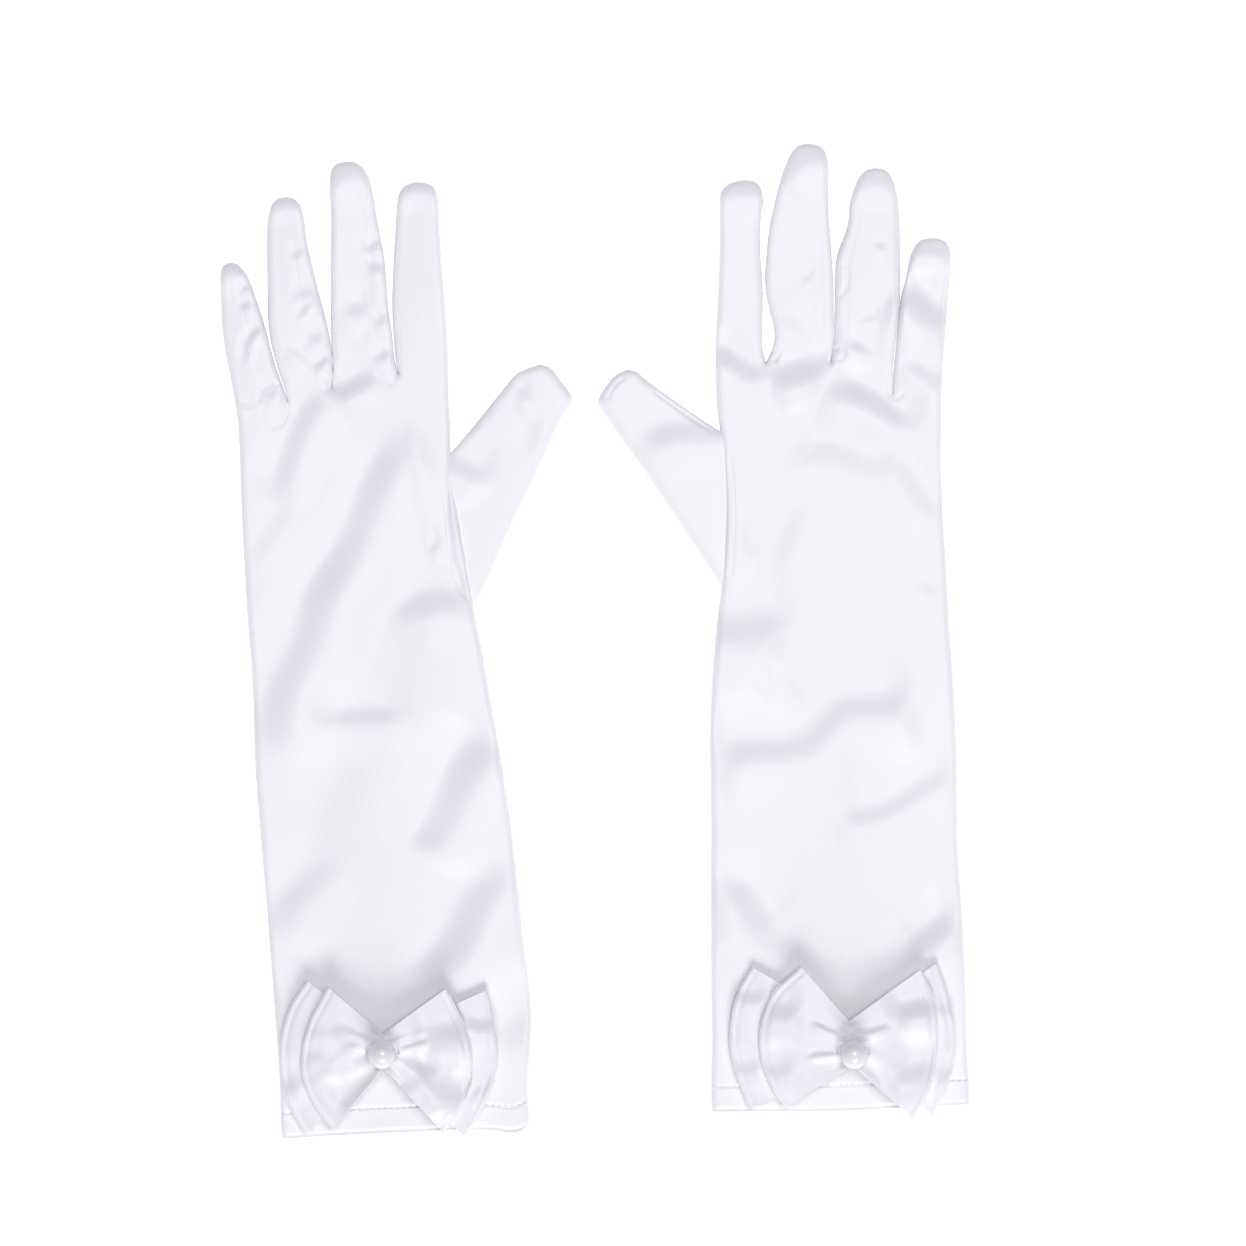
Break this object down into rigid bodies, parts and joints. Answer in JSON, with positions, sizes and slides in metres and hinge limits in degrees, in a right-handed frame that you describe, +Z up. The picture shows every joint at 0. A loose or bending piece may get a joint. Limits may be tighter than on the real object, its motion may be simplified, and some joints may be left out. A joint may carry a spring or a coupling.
{
  "type": "opera gloves",
  "caption": "Pair of white satin opera gloves lying flat, each with side strips in the fingers, a set-on thumb, a turned cuff and a double bow with a pearl.",
  "frame": {"origin": "middle of the rest plane under the pair", "axes": "+Y from the cuffs to the fingertips, +Z up from the palms to the backs of the hands, +X from the left glove to the right glove"},
  "size_m": [0.2306, 0.3063, 0.025],
  "materials": {
    "white_satin": "stretch satin with fine lengthwise ribs",
    "bow_satin": "smooth satin, folded",
    "sewing_thread": "polyester thread",
    "pearl_white": "pearlescent coating"
  },
  "bodies": {
    "left_sleeve": {"left_sleeve": "white_satin", "left_cuff_hem": "white_satin", "left_bow_back": "bow_satin", "left_bow_front": "bow_satin", "left_bow_gather": "sewing_thread", "left_pearl": "pearl_white", "left_pearl_thread": "sewing_thread"},
    "left_hand": {"left_hand": "white_satin"},
    "left_index": {"left_index": "white_satin", "left_index_strip": "white_satin"},
    "left_middle": {"left_middle": "white_satin", "left_middle_strip_index_side": "white_satin", "left_middle_strip_ring_side": "white_satin"},
    "left_ring": {"left_ring": "white_satin", "left_ring_strip_middle_side": "white_satin", "left_ring_strip_little_side": "white_satin"},
    "left_little": {"left_little": "white_satin", "left_little_strip": "white_satin"},
    "left_thumb": {"left_thumb": "white_satin"},
    "right_sleeve": {"right_sleeve": "white_satin", "right_cuff_hem": "white_satin", "right_bow_back": "bow_satin", "right_bow_front": "bow_satin", "right_bow_gather": "sewing_thread", "right_pearl": "pearl_white", "right_pearl_thread": "sewing_thread"},
    "right_hand": {"right_hand": "white_satin"},
    "right_index": {"right_index": "white_satin", "right_index_strip": "white_satin"},
    "right_middle": {"right_middle": "white_satin", "right_middle_strip_index_side": "white_satin", "right_middle_strip_ring_side": "white_satin"},
    "right_ring": {"right_ring": "white_satin", "right_ring_strip_middle_side": "white_satin", "right_ring_strip_little_side": "white_satin"},
    "right_little": {"right_little": "white_satin", "right_little_strip": "white_satin"},
    "right_thumb": {"right_thumb": "white_satin"}
  },
  "joints": [
    {"name": "right_glove_lift", "type": "slide", "parent": "left_sleeve", "child": "right_sleeve", "axis": [0, 0, 1], "range_m": [0, 0.1]},
    {"name": "left_wrist_fold", "type": "hinge", "parent": "left_sleeve", "child": "left_hand", "pos_m": [-0.07136, -0.00137, 0.0036], "axis": [0.996, 0.0889, 0], "range_deg": [-80, 80]},
    {"name": "left_index_fold", "type": "hinge", "parent": "left_hand", "child": "left_index", "pos_m": [-0.05266, 0.08162, 0.0032], "axis": [0.9995, 0.0332, 0], "range_deg": [-85, 85]},
    {"name": "left_middle_fold", "type": "hinge", "parent": "left_hand", "child": "left_middle", "pos_m": [-0.07074, 0.08051, 0.0032], "axis": [0.9978, 0.0663, 0], "range_deg": [-85, 85]},
    {"name": "left_ring_fold", "type": "hinge", "parent": "left_hand", "child": "left_ring", "pos_m": [-0.08783, 0.07627, 0.0032], "axis": [0.9925, 0.1219, 0], "range_deg": [-85, 85]},
    {"name": "left_little_fold", "type": "hinge", "parent": "left_hand", "child": "left_little", "pos_m": [-0.1025, 0.07075, 0.0032], "axis": [0.9781, 0.2079, 0], "range_deg": [-85, 85]},
    {"name": "left_thumb_fold", "type": "hinge", "parent": "left_hand", "child": "left_thumb", "pos_m": [-0.03622, 0.0346, 0.0029], "axis": [0.1184, -0.993, 0], "range_deg": [-75, 75]},
    {"name": "right_wrist_fold", "type": "hinge", "parent": "right_sleeve", "child": "right_hand", "pos_m": [0.07326, 0.00721, 0.0036], "axis": [0.9999, 0.0157, 0], "range_deg": [-80, 80]},
    {"name": "right_index_fold", "type": "hinge", "parent": "right_hand", "child": "right_index", "pos_m": [0.04512, 0.08598, 0.0032], "axis": [1, 0, 0], "range_deg": [-85, 85]},
    {"name": "right_middle_fold", "type": "hinge", "parent": "right_hand", "child": "right_middle", "pos_m": [0.06292, 0.08646, 0.0032], "axis": [0.9994, -0.0349, 0], "range_deg": [-85, 85]},
    {"name": "right_ring_fold", "type": "hinge", "parent": "right_hand", "child": "right_ring", "pos_m": [0.08237, 0.08336, 0.0032], "axis": [0.9979, -0.0645, 0], "range_deg": [-85, 85]},
    {"name": "right_little_fold", "type": "hinge", "parent": "right_hand", "child": "right_little", "pos_m": [0.09936, 0.07783, 0.0032], "axis": [0.9947, -0.1028, 0], "range_deg": [-85, 85]},
    {"name": "right_thumb_fold", "type": "hinge", "parent": "right_hand", "child": "right_thumb", "pos_m": [0.03403, 0.0407, 0.0029], "axis": [0, 1, 0], "range_deg": [-75, 75]}
  ]
}
